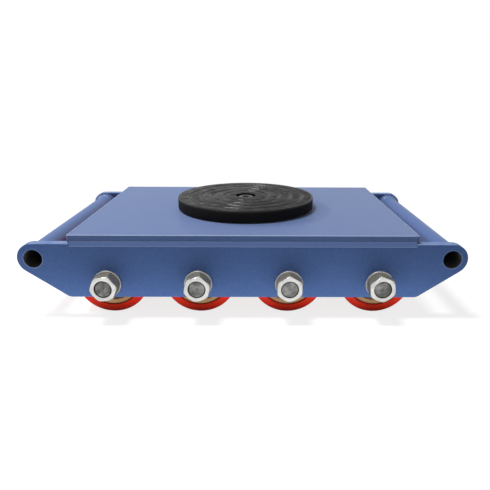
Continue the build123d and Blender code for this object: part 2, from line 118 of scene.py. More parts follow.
# %% [markdown]
# ## Writing shaders as sums
#
# A material is a tree of nodes, and a tree of Math nodes is hard to read. One small class wraps a socket
# and overloads the arithmetic signs, so that `1 - mask` adds its Math node by itself. Every other node comes
# from the one method `node`, which sets the node's settings first, because some settings change which
# sockets it has. A few short words on top of it, such as step, mix and noise, are enough for every finish.

# %% A socket that can be added and multiplied
class Wire:
    """A shader socket. Arithmetic between wires and numbers adds Math nodes to the same tree."""

    def __init__(self, tree, socket=None):
        self.tree = tree
        self.socket = socket

    def node(self, kind, settings=(), sockets=(), output=0):
        """Adds a node: its settings come first, then the values or links of its sockets."""
        made = self.tree.nodes.new("ShaderNode" + kind)
        for name, value in dict(settings).items():
            setattr(made, name, value)
        for name, value in dict(sockets).items():
            if isinstance(value, Wire):
                self.tree.links.new(value.socket, made.inputs[name])
            else:
                made.inputs[name].default_value = value
        return Wire(self.tree, made.outputs[output] if made.outputs else None)

    def math(self, operation, first, second=0.0):
        return self.node("Math", {"operation": operation}, {0: first, 1: second})

    def __add__(self, other):
        return self.math("ADD", self, other)

    def __radd__(self, other):
        return self.math("ADD", other, self)

    def __sub__(self, other):
        return self.math("SUBTRACT", self, other)

    def __rsub__(self, other):
        return self.math("SUBTRACT", other, self)

    def __mul__(self, other):
        return self.math("MULTIPLY", self, other)

    def __rmul__(self, other):
        return self.math("MULTIPLY", other, self)

    def __truediv__(self, other):
        return self.math("DIVIDE", self, other)

    def __rtruediv__(self, other):
        return self.math("DIVIDE", other, self)


print("wires can be added, subtracted, multiplied and divided")

# %% Words for shaders
def srgb(red, green, blue):
    """A colour as a picture stores it, 0 to 255, turned into the linear light that shaders use."""
    def linear(value):
        share = value / 255
        return share / 12.92 if share <= 0.04045 else ((share + 0.055) / 1.055) ** 2.4
    return (linear(red), linear(green), linear(blue), 1.0)


def step(wire, low, high):
    """A soft step: 0 below low, 1 above high."""
    return wire.node(
        "MapRange",
        {"interpolation_type": "SMOOTHSTEP"},
        {"Value": wire, "From Min": low, "From Max": high},
    )


def mix(factor, first, second):
    """One colour where the factor is 0, the other where it is 1."""
    return factor.node("Mix", {"data_type": "RGBA"}, {0: factor, 6: first, 7: second}, output=2)


def noise(point, size, detail=2.0, roughness=0.5):
    """Cloudy noise whose blobs are about that size, in metres."""
    return point.node(
        "TexNoise",
        (),
        {"Vector": point, "Scale": 1 / size, "Detail": detail, "Roughness": roughness},
    )


def axis(point, letter):
    return point.node("SeparateXYZ", (), {0: point}, output=letter)


def bump(height, distance, strength=1.0):
    return height.node("Bump", (), {"Strength": strength, "Distance": distance, "Height": height})


def start_finish(name):
    """A new material with an empty tree, and the piece's own coordinates in it."""
    material = bpy.data.materials.new(name)
    material.use_nodes = True
    material.node_tree.nodes.clear()
    point = Wire(material.node_tree).node("TexCoord", output="Object")
    return material, point


def close_finish(point, sockets):
    shader = point.node("BsdfPrincipled", (), sockets)
    shader.node("OutputMaterial", (), {"Surface": shader})


print("shader words ready")

# %% [markdown]
# ## Light, floor and background
#
# The picture is lit the usual way for a catalogue: a lamp high up and a little to the left, a smaller one
# behind on the left, a broad weak panel nearer by that softens the shadows, and a pale table whose near part
# throws light back up at the front plate. That last light is why the plate is brighter at its foot and why
# the nuts shade the paint above them. It could be left to bounces off the floor, but a low reflector in
# front is easier to set. Panel and reflector are hidden from reflections, so only the two lamps glint.

# %% Hang the lamps
def softbox(name, place, aim, size, watts, seen_in_gloss=True):
    """An area lamp of that size in metres, turned from its place to the point that it lights."""
    data = bpy.data.lights.new(name, "AREA")
    data.shape = "RECTANGLE"
    data.size = size[0]
    data.size_y = size[1]
    data.energy = watts
    lamp = bpy.data.objects.new(name, data)
    direction = Vector(aim) - Vector(place)
    lamp.rotation_mode = "QUATERNION"
    lamp.rotation_quaternion = direction.to_track_quat("-Z", "Y")
    lamp.location = place
    lamp.visible_camera = False
    lamp.visible_glossy = seen_in_gloss
    bpy.context.scene.collection.objects.link(lamp)


DECK_MIDDLE = (0.0, 0.0, 0.09)
PLATE_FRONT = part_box("side_plate_front")[0].y
REFLECTOR_PLACE = (-0.09, PLATE_FRONT - 0.03, 0.003)
REFLECTOR_AIM = (-0.09, PLATE_FRONT - 0.029, 1.0)
softbox("key_softbox", place=(-0.68, -0.06, 2.59), aim=DECK_MIDDLE, size=(0.35, 0.70), watts=56.0)
softbox("side_softbox", place=(-2.08, 1.10, 1.63), aim=DECK_MIDDLE, size=(0.36, 0.36), watts=18.0)
softbox(
    "left_panel", place=(-0.75, 0.10, 1.45), aim=DECK_MIDDLE, size=(1.0, 1.0), watts=5.6,
    seen_in_gloss=False,
)
softbox(
    "front_reflector", place=REFLECTOR_PLACE, aim=REFLECTOR_AIM, size=(0.62, 0.045), watts=0.215,
    seen_in_gloss=False,
)

# %% [markdown]
# The backdrop is white only for rays that come straight from the camera or off something shiny. Everything
# else sees a softer grey, so that the background can be pure white without flooding the object with light.
# The floor works the same way: to the camera it is white with the object's own shadow on it, and a little
# way from the object it fades into the backdrop, so that no horizon shows.

# %% Lay the floor and the backdrop
FLOOR_SIZE = 4.0
FLOOR_BOUNCE = 0.60
FLOOR_SHADE = 0.30
FLOOR_GLOW = 0.80
FADE_LENGTH = 0.30
FADE_WIDTH = 0.22
FADE_START = 1.0
FADE_END = 1.9
SKY_FILL = 0.18

floor_bm = bmesh.new()
bmesh.ops.create_grid(floor_bm, x_segments=1, y_segments=1, size=FLOOR_SIZE)
floor_mesh = bpy.data.meshes.new("floor")
floor_bm.to_mesh(floor_mesh)
floor_bm.free()
floor = bpy.data.objects.new("floor", floor_mesh)
bpy.context.scene.collection.objects.link(floor)
floor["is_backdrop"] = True


def grey(level):
    return (level, level, level, 1.0)


def white_sight(wire):
    """1 for rays from the camera or off something shiny or clear, 0 for all other light."""
    straight = wire.node("LightPath", output="Is Camera Ray")
    shiny = wire.node("LightPath", output="Is Glossy Ray")
    clear = wire.node("LightPath", output="Is Transmission Ray")
    return wire.math("MINIMUM", straight + shiny + clear, 1.0)


floor_paper, point = start_finish("floor_paper")
bounce = point.node("BsdfDiffuse", (), {"Color": grey(FLOOR_BOUNCE)})
shade = point.node("BsdfDiffuse", (), {"Color": grey(FLOOR_SHADE)})
glow = point.node("Emission", (), {"Color": grey(1.0), "Strength": FLOOR_GLOW})
near = point.node("AddShader", (), {0: shade, 1: glow})
far = point.node("Emission", (), {"Color": grey(1.0), "Strength": 1.0})
along = axis(point, "X") / FADE_LENGTH
sideways = axis(point, "Y") / FADE_WIDTH
fade = step(point.math("SQRT", along * along + sideways * sideways), FADE_START, FADE_END)
seen = point.node("MixShader", (), {0: fade, 1: near, 2: far})
surface = point.node("MixShader", (), {0: white_sight(point), 1: bounce, 2: seen})
surface.node("OutputMaterial", (), {"Surface": surface})
floor_mesh.materials.append(floor_paper)

world = bpy.data.worlds.new("white_backdrop")
world.use_nodes = True
world.node_tree.nodes.clear()
sky = Wire(world.node_tree)
strength = SKY_FILL + (1 - SKY_FILL) * white_sight(sky)
backdrop = sky.node("Background", (), {"Color": grey(1.0), "Strength": strength})
backdrop.node("OutputWorld", (), {"Surface": backdrop})
bpy.context.scene.world = world
bpy.context.scene.view_settings.view_transform = "Standard"
print("floor", FLOOR_SIZE * 2, "m across, sky fill", SKY_FILL)

# %% [markdown]
# ## Blue powder coat
#
# The frame is sprayed with powder and baked, which leaves a hard blue skin with a faint orange peel and a
# soft shine. A plain blue would look like plastic, so the colour drifts slightly over a hand's width, a fine
# grain breaks it up, the peel is a bump of about a millimetre, and the gloss is a little uneven. A paler blue
# is painted on the deck's rim, all along the welds and most on their toes, on the open upper edge of the side
# plates and, mostly below, round the mouths of the bores. It is a painted highlight of those rounds and
# painted light on the welds' upturned face, with a mottle of rubbed coat on the plates. Painted edge maps
# could say where, but here each place follows from the frame's own sizes, so small functions say it.

# %% Find where the coat is painted paler
TUBE_LOW, TUBE_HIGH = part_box("tie_tube_right")
TUBE_PLACE = (TUBE_LOW.x + TUBE_HIGH.x) / 2
TUBE_HEIGHT = (TUBE_LOW.z + TUBE_HIGH.z) / 2
TUBE_RADIUS = (TUBE_HIGH.x - TUBE_LOW.x) / 2
mounts = {mount["name"]: mount for mount in frame["record"]["mounts"]}
BORE_RADIUS = mounts["tie_bore_right"]["dims"]["r_mm"] * MM
DECK_LOW, DECK_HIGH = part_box("deck_plate")
WELD_LOW, WELD_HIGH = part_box("deck_welds")
PLATE_EASE = 1.2 * MM
# Shares of the paler blue: painted light and painted highlights on welds, ledges and bore mouths; RUB shares
# add rubbed coat.
WELD_LIGHT = 0.05
TOE_HIGHLIGHT = 0.17
LEDGE_HIGHLIGHT = 0.20
LEDGE_RUB = 0.28
MOUTH_HIGHLIGHT = 0.10
MOUTH_LOWER_HIGHLIGHT = 0.28
MOUTH_RUB = 0.14


def tube_radius(point):
    """How far a point is from the axis of the nearer tie tube."""
    along = point.math("ABSOLUTE", axis(point, "X")) - TUBE_PLACE
    high = axis(point, "Z") - TUBE_HEIGHT
    return point.math("SQRT", along * along + high * high)


def deck_end(point, letter, reach):
    """1 on the rounded edges at both ends of the deck, along X or Y."""
    away = point.math("ABSOLUTE", axis(point, letter))
    return step(away, reach - PLATE_EASE, reach - 0.6 * PLATE_EASE)


def deck_rim_highlight(point):
    """1 on the rounded upper edges of the deck, where a paler blue paints the highlight of the round."""
    upper = step(axis(point, "Z"), DECK_HIGH.z - 0.7 * PLATE_EASE, DECK_HIGH.z - 0.3 * PLATE_EASE)
    long_way = deck_end(point, "X", DECK_HIGH.x)
    wide_way = deck_end(point, "Y", DECK_HIGH.y)
    return point.math("MAXIMUM", long_way, wide_way) * upper


def weld_painted_light(point):
    """Paler all along the welds, painted light on their upturned face, and palest on both toes, painted
    highlights.
    """
    high = axis(point, "Z")
    lower_toe = 1 - step(high, WELD_LOW.z + 0.6 * MM, WELD_LOW.z + 1.2 * MM)
    upper_toe = step(high, WELD_HIGH.z - 1.2 * MM, WELD_HIGH.z - 0.6 * MM)
    return WELD_LIGHT + TOE_HIGHLIGHT * (lower_toe + upper_toe)


def plate_highlight_and_wear(point):
    """Paler on a side plate's open upper edge and round its tie bores' mouths, most below: painted highlight
    and sheen, mottled by rubbed coat.
    """
    high = axis(point, "Z")
    rubbed = step(noise(point, 0.012, detail=3.0), 0.25, 0.7)
    ledge = step(high, DECK_LOW.z - 0.5 * PLATE_EASE, DECK_LOW.z - 0.2 * PLATE_EASE)
    mouth = 1 - step(tube_radius(point), BORE_RADIUS + 0.7 * MM, BORE_RADIUS + 1.3 * MM)
    below = 1 - step(high, TUBE_HEIGHT - 0.7 * BORE_RADIUS, TUBE_HEIGHT + 0.5 * BORE_RADIUS)
    mouth_highlight = mouth * (MOUTH_HIGHLIGHT + MOUTH_LOWER_HIGHLIGHT * below + MOUTH_RUB * rubbed)
    return point.math("MAXIMUM", ledge * (LEDGE_HIGHLIGHT + LEDGE_RUB * rubbed), mouth_highlight)


print("bores", round(BORE_RADIUS / MM, 2), "and tubes", round(TUBE_RADIUS / MM, 2), "mm in radius")

# %% [markdown]
# The spray hardly reaches into the tie tubes, so there a Mix Shader turns the coat into dark bare steel,
# whose darkness also paints the shade inside the bores. One function mixes four coats from the same blue:
# side plates, deck, tubes and welds lie at different angles to the light and are painted paler in different
# places, so they differ in sheen, gloss and painted highlights.

# %% Mix the powder coat
def powder_coat(name, sheen, gloss=0.08, highlight_and_wear=None):
    """The blue coat. sheen pales it at a flat angle; highlight_and_wear(point) says where paler blue is
    painted.
    """
    material, point = start_finish(name)
    drift = noise(point, 0.09, detail=2.0)
    grain = noise(point, 0.0016, detail=2.0, roughness=0.6)
    peel = noise(point, 0.0011, detail=1.0)
    blue = mix(drift, srgb(63, 91, 143), srgb(70, 98, 152))
    blue = mix(step(grain, 0.25, 0.8) * 0.45, blue, srgb(86, 111, 162))
    if highlight_and_wear:
        # Paler blue where highlight_and_wear says: painted highlights and painted light, with some rubbed
        # coat.
        blue = mix(highlight_and_wear(point), blue, srgb(146, 163, 200))
    coat = point.node("BsdfPrincipled", (), {
        "Base Color": blue,
        "Roughness": 0.54 + 0.12 * noise(point, 0.02, detail=3.0),
        "Normal": bump(peel, 0.00005, 0.35),
        "Specular IOR Level": 0.12,
        "Coat Weight": gloss,
        "Coat Roughness": 0.2,
        "Sheen Weight": sheen,
        "Sheen Roughness": 0.6,
    })
    # Inside the tie bores: bare steel kept dark grey, which also paints the shade inside the bores.
    bare_steel_and_shade = point.node("BsdfPrincipled", (), {
        "Base Color": mix(drift, srgb(72, 71, 72), srgb(84, 83, 83)),
        "Roughness": 0.7 + 0.1 * grain,
        "Specular IOR Level": 0.15,
    })
    inside = 1 - step(tube_radius(point), BORE_RADIUS + 0.02 * MM, BORE_RADIUS + 0.1 * MM)
    surface = point.node("MixShader", (), {0: inside, 1: coat, 2: bare_steel_and_shade})
    surface.node("OutputMaterial", (), {"Surface": surface})
    return material


# The plates' coat is painted paler on their upper edges and bore mouths: painted highlights, with rubbed
# coat.
finishes = {"frame_paint": powder_coat("blue_powder_coat", 0.0, highlight_and_wear=plate_highlight_and_wear)}
# The deck's coat is painted paler on its rounded rim: a painted highlight.
deck_coat = powder_coat("blue_deck_coat", 0.36, highlight_and_wear=deck_rim_highlight)
tube_coat = powder_coat("blue_tube_coat", 0.2)
# The welds' coat is painted paler: painted light on the beads and painted highlights on their toes.
weld_coat = powder_coat("blue_weld_coat", 0.0, gloss=0.55, highlight_and_wear=weld_painted_light)
print("mixed", [coat.name for coat in (finishes["frame_paint"], deck_coat, tube_coat, weld_coat)])

# %% [markdown]
# ## Red polyurethane and its golden hubs
#
# The tyres are cast in a mould round steel hubs, in a clear bright red with a soft gloss. The cast side is
# darker in a narrow ring where it is bonded to the hub, and the hub is darker towards its edge: partly the
# bond line, partly painted shade of the step between hub and tyre. The hubs are zinc plated and passivated
# yellow, which gives a tan metal with a slight rainbow drift, and their ends keep the fine rings of the
# lathe. Rings and the dark ring at the bond both need the distance from an axle, and the four axles stand at
# an even pitch, so that distance is worked out once for all of them: the pitch is wrapped round with a floor,
# and one material serves every roller.

# %% Mix the polyurethane and the hub plating
AXLE_HEIGHT = (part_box("axles")[0].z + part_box("axles")[1].z) / 2
AXLE_PLACES = [sum(corner.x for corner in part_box(f"hub_front_{n}")) / 2 for n in (1, 2, 3, 4)]
AXLE_PITCH = AXLE_PLACES[1] - AXLE_PLACES[0]
HUB_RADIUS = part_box("hub_front_1")[1].z - AXLE_HEIGHT
TYRE_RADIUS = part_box("tyre_front_1")[1].z - AXLE_HEIGHT
HUB_LATHE_PITCH = 0.7 * MM


def axle_radius(point):
    """How far a point is from the nearest axle."""
    along = axis(point, "X")
    bay = point.math("FLOOR", along / AXLE_PITCH) + 0.5
    aside = along - bay * AXLE_PITCH
    high = axis(point, "Z") - AXLE_HEIGHT
    return point.math("SQRT", aside * aside + high * high)


def turning_rings(point, radius, pitch):
    """Rings that a lathe tool leaves, a little unsteady, between 0 and 1."""
    wander = noise(point, 0.004, detail=2.0) * (0.8 * pitch)
    return 0.5 + 0.5 * point.math("SINE", (radius + wander) * (2 * math.pi / pitch))


def clouded(cloud, dark, light):
    """Two tones of a metal, in soft clouds."""
    return mix(step(cloud, 0.3, 0.7), dark, light)


def polyurethane():
    material, point = start_finish("red_polyurethane")
    radius = axle_radius(point)
    drift = noise(point, 0.03, detail=3.0)
    flow = noise(point, 0.004, detail=2.0)
    red = mix(drift, srgb(226, 38, 12), srgb(238, 50, 18))
    # A darker ring next to the hub: partly the bond line, partly painted shade of the step between hub and
    # tyre.
    bond_line_and_shade = 1 - step(radius, HUB_RADIUS + 0.3 * MM, HUB_RADIUS + 1.4 * MM)
    close_finish(point, {
        "Base Color": mix(bond_line_and_shade * 0.8, red, srgb(84, 16, 10)),
        "Roughness": 0.26 + 0.14 * flow,
        "Normal": bump(flow, 0.00012, 0.25),
        "Specular IOR Level": 0.16,
    })
    return material


def passivated_zinc():
    material, point = start_finish("passivated_hub_zinc")
    radius = axle_radius(point)
    drift = noise(point, 0.012, detail=3.0)
    rings = turning_rings(point, radius, HUB_LATHE_PITCH)
    gold = clouded(drift, srgb(166, 127, 86), srgb(182, 145, 104))
    gold = mix(step(noise(point, 0.02), 0.55, 0.75) * 0.35, gold, srgb(172, 138, 114))
    # Darker towards the hub's edge: partly the bond, partly painted shade of the step under the tyre.
    edge = step(radius, HUB_RADIUS - 1.3 * MM, HUB_RADIUS - 0.2 * MM)
    close_finish(point, {
        "Base Color": mix(edge * 0.6, gold, srgb(88, 58, 34)),
        "Metallic": 0.75,
        "Roughness": 0.42 + 0.12 * drift,
        "Normal": bump(rings, 0.00004, 0.35),
    })
    return material


finishes["tyre_urethane"] = polyurethane()
finishes["hub_zinc"] = passivated_zinc()
roller_sizes = [round(size / MM, 2) for size in (TYRE_RADIUS, HUB_RADIUS, AXLE_PITCH)]
print("radius of the tyres, radius of the hubs and pitch of the axles", roller_sizes, "mm")

# %% [markdown]
# ## Bare and plated metal
#
# Five more metals are on the skate. The nuts and washers are bright zinc, the axles are plain turned bar,
# the bearing rings are ground and nearly mirror bright, the screw and the plate under the pad are blacked,
# and the cage of the thrust bearing is rolled brass. One function with many arguments could make them all,
# but each shows how it was made in another way, so each has a short one of its own. The zinc comes first: it
# is bright where a tool or the plating bath left it smooth, and dull on rolled faces. Its dull flats and
# washer faces are also painted darker, as painted shade; the washers' rims are kept bright, as a painted
# highlight; and a dark ring in each nut's mouth paints the shade of the thread.

# %% Mix the bright zinc
THREAD_RADIUS = 8.0 * MM
NUT_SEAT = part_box("axle_nuts_rear")[0].y
NUT_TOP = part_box("axle_nuts_rear")[1].y
NUT_MOUTH = THREAD_RADIUS + 1.0 * MM
WASHER_LOW, WASHER_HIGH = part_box("axle_washers_rear")
WASHER_RADIUS = WASHER_HIGH.z - AXLE_HEIGHT


def plated_zinc():
    """Bright on turned faces; washer rims bright as a painted highlight; nut flats and washer faces dull,
    partly rolled, partly painted shade; nut mouths dark as painted shade.
    """
    material, point = start_finish("bright_zinc_plate")
    cloud = noise(point, 0.006, detail=4.0, roughness=0.6)
    marks = noise(point, 0.0012, detail=2.0)
    out = point.math("ABSOLUTE", axis(point, "Y"))
    radius = axle_radius(point)
    on_axle = step(out, WASHER_LOW.y - 0.1 * MM, WASHER_LOW.y)
    face = step(out, NUT_TOP - 1.6 * MM, NUT_TOP - 0.4 * MM)
    on_washer = 1 - step(out, NUT_SEAT, NUT_SEAT + 0.1 * MM)
    # The washers' rims stay bright: a painted highlight on their round.
    rim = on_washer * step(radius, WASHER_RADIUS - 0.9 * MM, WASHER_RADIUS - 0.4 * MM)
    # Nut flats and washer faces are dull and darker: partly their rolled finish, partly painted shade.
    dull_and_shaded = on_axle * (1 - face) * (1 - rim)
    # A dark ring in each nut's mouth and bore: painted shade of the thread.
    thread = on_axle * (1 - step(radius, NUT_MOUTH - 0.6 * MM, NUT_MOUTH - 0.2 * MM))
    bright = clouded(cloud, srgb(198, 198, 195), srgb(222, 222, 220))
    zinc = mix(dull_and_shaded, bright, srgb(143, 139, 129))
    close_finish(point, {
        "Base Color": mix(thread, zinc, srgb(40, 39, 36)),
        "Metallic": 1.0,
        "Roughness": 0.3 + 0.16 * (cloud - 0.5) + 0.28 * dull_and_shaded,
        "Normal": bump(marks, 0.00002, 0.3),
    })
    return material


finishes["bright_zinc"] = plated_zinc()
print("nuts stand from", round(NUT_SEAT / MM, 2), "to", round(NUT_TOP / MM, 2), "mm from the middle")

# %% [markdown]
# The seals of the bearings are in the same nodes as their rings, so there a mask by radius turns the steel
# into black rubber.

# %% Mix the bare steels and the brass
SEAL_RADIUS = 19.3 * MM
BAR_LATHE_PITCH = 0.45 * MM


def turned_bar():
    material, point = start_finish("turned_axle_steel")
    cloud = noise(point, 0.009, detail=4.0, roughness=0.5)
    rings = turning_rings(point, axle_radius(point), BAR_LATHE_PITCH)
    close_finish(point, {
        "Base Color": clouded(cloud, srgb(84, 84, 83), srgb(148, 148, 146)),
        "Metallic": 1.0,
        "Roughness": 0.32 + 0.14 * cloud,
        "Normal": bump(rings, 0.00003, 0.5),
    })
    return material


def sealed_bearing():
    material, point = start_finish("ground_bearing_steel")
    steel_share = step(axle_radius(point), SEAL_RADIUS - 0.05 * MM, SEAL_RADIUS + 0.05 * MM)
    cloud = noise(point, 0.006, detail=3.0)
    close_finish(point, {
        "Base Color": mix(steel_share, srgb(24, 24, 26), srgb(205, 206, 208)),
        "Metallic": steel_share,
        "Roughness": 0.5 - 0.34 * steel_share + 0.08 * cloud,
        "Normal": bump(cloud, 0.00002, 0.2),
    })
    return material


def blacked_steel(name, dark, light, roughness):
    material, point = start_finish(name)
    cloud = noise(point, 0.005, detail=4.0, roughness=0.6)
    pits = noise(point, 0.0009, detail=2.0)
    close_finish(point, {
        "Base Color": clouded(cloud, dark, light),
        "Metallic": 0.6,
        "Roughness": roughness + 0.15 * cloud,
        "Normal": bump(pits, 0.00004, 0.3),
    })
    return material


def rolled_brass():
    material, point = start_finish("rolled_cage_brass")
    cloud = noise(point, 0.006, detail=4.0, roughness=0.6)
    marks = noise(point, 0.001, detail=2.0)
    close_finish(point, {
        "Base Color": clouded(cloud, srgb(188, 148, 74), srgb(214, 178, 96)),
        "Metallic": 1.0,
        "Roughness": 0.3 + 0.16 * (cloud - 0.5),
        "Normal": bump(marks, 0.00002, 0.3),
    })
    return material


finishes["axle_steel"] = turned_bar()
finishes["bearing_steel"] = sealed_bearing()
finishes["turntable_steel"] = blacked_steel(
    "blacked_turntable_steel", srgb(44, 44, 48), srgb(66, 66, 70), roughness=0.4
)
finishes["dark_screw"] = blacked_steel(
    "blacked_screw_steel", srgb(48, 48, 50), srgb(72, 72, 74), roughness=0.38
)
finishes["cage_brass"] = rolled_brass()
print("finishes so far", sorted(finishes))

# %% [markdown]
# ## Black rubber
#
# The pad on the turntable keeps the load from sliding. It is moulded rubber, nearly black, with a fine grain
# from the mould. A grey is painted in patches on the lands of its top: partly dust, partly the sheen of the
# top, and less of it to one side, which paints the shade of that side. It stays out of the grooves and thins
# out towards the rim, where it is brushed away. The side is painted a warmer, lighter black, which paints its
# reflection. Soft rubber reflects much less than paint, so its specular level is almost nothing, set on the
# shader itself. The lips of the grooves and the rim are rubbed smooth by loads: there a thin clear coat comes
# up, and that is where the lamps glint.

# %% Mix the rubber
PAD_LOW, PAD_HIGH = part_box("grip_pad")
PAD_TOP = PAD_HIGH.z
PAD_RADIUS = PAD_HIGH.x
PAD_RIM = 0.8 * MM
GROOVE_FIRST = 26.7 * MM
GROOVE_PITCH = 13.3 * MM
GROOVE_HALF_WIDTH = 2.2 * MM
LIP_GLOSS = 0.3
BRUSHED_BAND = 5.0 * MM
# Lean and reach of the painted shade across the pad's top.
SHADE_LEAN = 0.58
SHADE_REACH = 1.15 * PAD_RADIUS


def pad_radius(point):
    """How far a point is from the pad's own axis, which is the origin's."""
    along = axis(point, "X")
    back = axis(point, "Y")
    return point.math("SQRT", along * along + back * back)


def worn_share(point):
    """How far the lips of the pad's grooves and its rim are rubbed smooth."""
    radius = pad_radius(point)
    count = (radius - GROOVE_FIRST) / GROOVE_PITCH + 0.5
    away = point.math("ABSOLUTE", count - point.math("FLOOR", count) - 0.5) * GROOVE_PITCH
    upper = step(axis(point, "Z"), PAD_TOP - 2.4 * MM, PAD_TOP - 1.6 * MM)
    grooves = 1 - step(away, GROOVE_HALF_WIDTH, GROOVE_HALF_WIDTH + 0.5 * MM)
    outside = step(radius, GROOVE_FIRST - 0.5 * GROOVE_PITCH, GROOVE_FIRST - 0.4 * GROOVE_PITCH)
    rim = step(radius, PAD_RADIUS - PAD_RIM, PAD_RADIUS - 0.7 * PAD_RIM)
    return upper * point.math("MAXIMUM", LIP_GLOSS * grooves * outside, LIP_GLOSS * rim)


def dust_and_sheen_share(point, bloom):
    """How much grey lies on the top: dust and painted sheen in patches, none at the rim, less to one side as
    painted shade.
    """
    top = step(axis(point, "Z"), PAD_TOP - 0.9 * MM, PAD_TOP - 0.1 * MM)
    brushed = step(pad_radius(point), PAD_RADIUS - BRUSHED_BAND, PAD_RADIUS - PAD_RIM)
    # Less grey to one side: painted shade on that side of the pad's top.
    shaded_side = step(axis(point, "X") - SHADE_LEAN * axis(point, "Y"), -SHADE_REACH, SHADE_REACH)
    patches = 0.12 + 0.7 * step(bloom, 0.3, 0.7)
    return top * (1 - brushed) * (1.28 - 0.8 * shaded_side) * patches


def moulded_rubber():
    material, point = start_finish("moulded_black_rubber")
    grain = noise(point, 0.0007, detail=2.0, roughness=0.6)
    bloom = noise(point, 0.012, detail=6.0, roughness=0.7)
    black = mix(step(bloom, 0.3, 0.75), srgb(17, 17, 17), srgb(22, 22, 22))
    # The grey on the top is partly dust, partly painted sheen.
    top = mix(dust_and_sheen_share(point, bloom), black, srgb(90, 90, 91))
    on_side = step(pad_radius(point), PAD_RADIUS - 0.3 * MM, PAD_RADIUS - 0.1 * MM)
    close_finish(point, {
        # The side gets a lighter, warmer black: painted reflection.
        "Base Color": mix(on_side, top, srgb(41, 39, 37)),
        "Roughness": 0.4 + 0.2 * bloom,
        "Normal": bump(grain, 0.00009, 0.4),
        "Specular IOR Level": 0.01,
        "Coat Weight": worn_share(point),
        "Coat Roughness": 0.2,
    })
    return material


finishes["pad_rubber"] = moulded_rubber()
print("mixed", finishes["pad_rubber"].name)

# %% [markdown]
# ## Handing out the finishes
#
# Each node of the frame arrives with a plain stand-in material that has the name of its slot in the record.
# That name says which finish the node gets, so one loop dresses all of them. The tubes and the deck's welds
# are of the same slot as the plates, and then get their own coats.

# %% Dress the nodes
for node in nodes.values():
    stand_in = node.material_slots[0]
    stand_in.material = finishes[stand_in.material.name]
for name, coat in (("tie_tube_left", tube_coat), ("tie_tube_right", tube_coat), ("deck_welds", weld_coat)):
    nodes[name].material_slots[0].material = coat
print("dressed", len(nodes), "nodes with", len(finishes), "finishes")

# %% [markdown]
# ## Rings that grow
#
# Nuts, screws and turned ends are all stacks of rings. They could be lists of vertices, but it is easier to
# start with one circle and extrude it again and again: each new ring gets its radius and height from a
# little function of the angle, which may just as well describe a circle, a hexagon or a knurl.

# %% Tools for rings
def first_ring(bm, segments, radius, height):
    """The edges of a circle round Z."""
    verts = bmesh.ops.create_circle(bm, cap_ends=False, segments=segments, radius=radius)["verts"]
    bmesh.ops.translate(bm, verts=verts, vec=(0, 0, height))
    return list({edge for vert in verts for edge in vert.link_edges})


def next_ring(bm, ring, place):
    """Extrudes a ring of edges. place(angle) gives the radius and the height of the new ring."""
    made = bmesh.ops.extrude_edge_only(bm, edges=ring)["geom"]
    verts = {part for part in made if isinstance(part, bmesh.types.BMVert)}
    for vert in verts:
        angle = math.atan2(vert.co.y, vert.co.x)
        radius, height = place(angle)
        vert.co = (radius * math.cos(angle), radius * math.sin(angle), height)
    return [part for part in made if isinstance(part, bmesh.types.BMEdge) and verts.issuperset(part.verts)]


def grow_rings(bm, ring, places):
    """Extrudes a ring once for each place, and gives back the last ring."""
    for place in places:
        ring = next_ring(bm, ring, place)
    return ring


def turned_ring(segments, radius, height, places):
    """A piece with a hole: its rings run round the section from a first circle and meet it again."""
    bm = bmesh.new()
    start = first_ring(bm, segments, radius, height)
    end = grow_rings(bm, start, places)
    bmesh.ops.bridge_loops(bm, edges=start + end)
    bmesh.ops.recalc_face_normals(bm, faces=bm.faces)
    return bm


def circle(radius, height):
    return lambda angle: (radius, height)


def hexagon(half_width, angle):
    """Radius of a hexagon with corners at 0, 60, 120 degrees and so on."""
    return half_width / math.cos(angle % (math.pi / 3) - math.pi / 6)


print("ring tools ready")

# %% [markdown]
# A finished piece keeps its object at the origin, with its place in the mesh, so that it behaves as the
# nodes of the frame do. Edges are rounded with a bevel, doubles are merged, and the faces are turned
# outwards before the mesh is made. A piece that stands in several places is one mesh with a copy at each.

# %% Tools that finish a piece
MERGE_DISTANCE = 1e-6
SHARP_ANGLE = math.radians(32)


def soften(bm, width, segments=2, least_angle=30, spared=None):
    """Rounds the edges that turn by more than the least angle, in degrees, and that are not spared."""
    edges = [
        edge for edge in bm.edges
        if edge.is_manifold and edge.calc_face_angle() > math.radians(least_angle)
        and not (spared and spared(edge))
    ]
    bmesh.ops.bevel(
        bm, geom=edges, offset=width, offset_type="OFFSET", affect="EDGES", segments=segments,
        profile=0.5, material=-1, clamp_overlap=True,
    )
    return len(edges)


def close_mesh(bm, name):
    """Merges doubles, turns the faces outwards and makes the mesh."""
    bmesh.ops.remove_doubles(bm, verts=bm.verts, dist=MERGE_DISTANCE)
    bmesh.ops.recalc_face_normals(bm, faces=bm.faces)
    mesh = bpy.data.meshes.new(name)
    bm.to_mesh(mesh)
    bm.free()
    mesh.shade_smooth()
    mesh.set_sharp_from_angle(angle=SHARP_ANGLE)
    return mesh


def join_meshes(name, placed):
    """One mesh that holds a copy of each given mesh at its place."""
    bm = bmesh.new()
    for mesh, place in placed:
        start = len(bm.verts)
        bm.from_mesh(mesh)
        bm.verts.ensure_lookup_table()
        bmesh.ops.transform(bm, matrix=place, verts=bm.verts[start:])
    return close_mesh(bm, name)


def across(x, y, side, turn=0.0):
    """A place on an axle: local Z points out to the front (side -1) or to the rear (side 1)."""
    facing = Matrix(((1, 0, 0), (0, 0, side), (0, -side, 0))).to_4x4()
    return Matrix.Translation((x, y, AXLE_HEIGHT)) @ facing @ Matrix.Rotation(turn, 4, "Z")


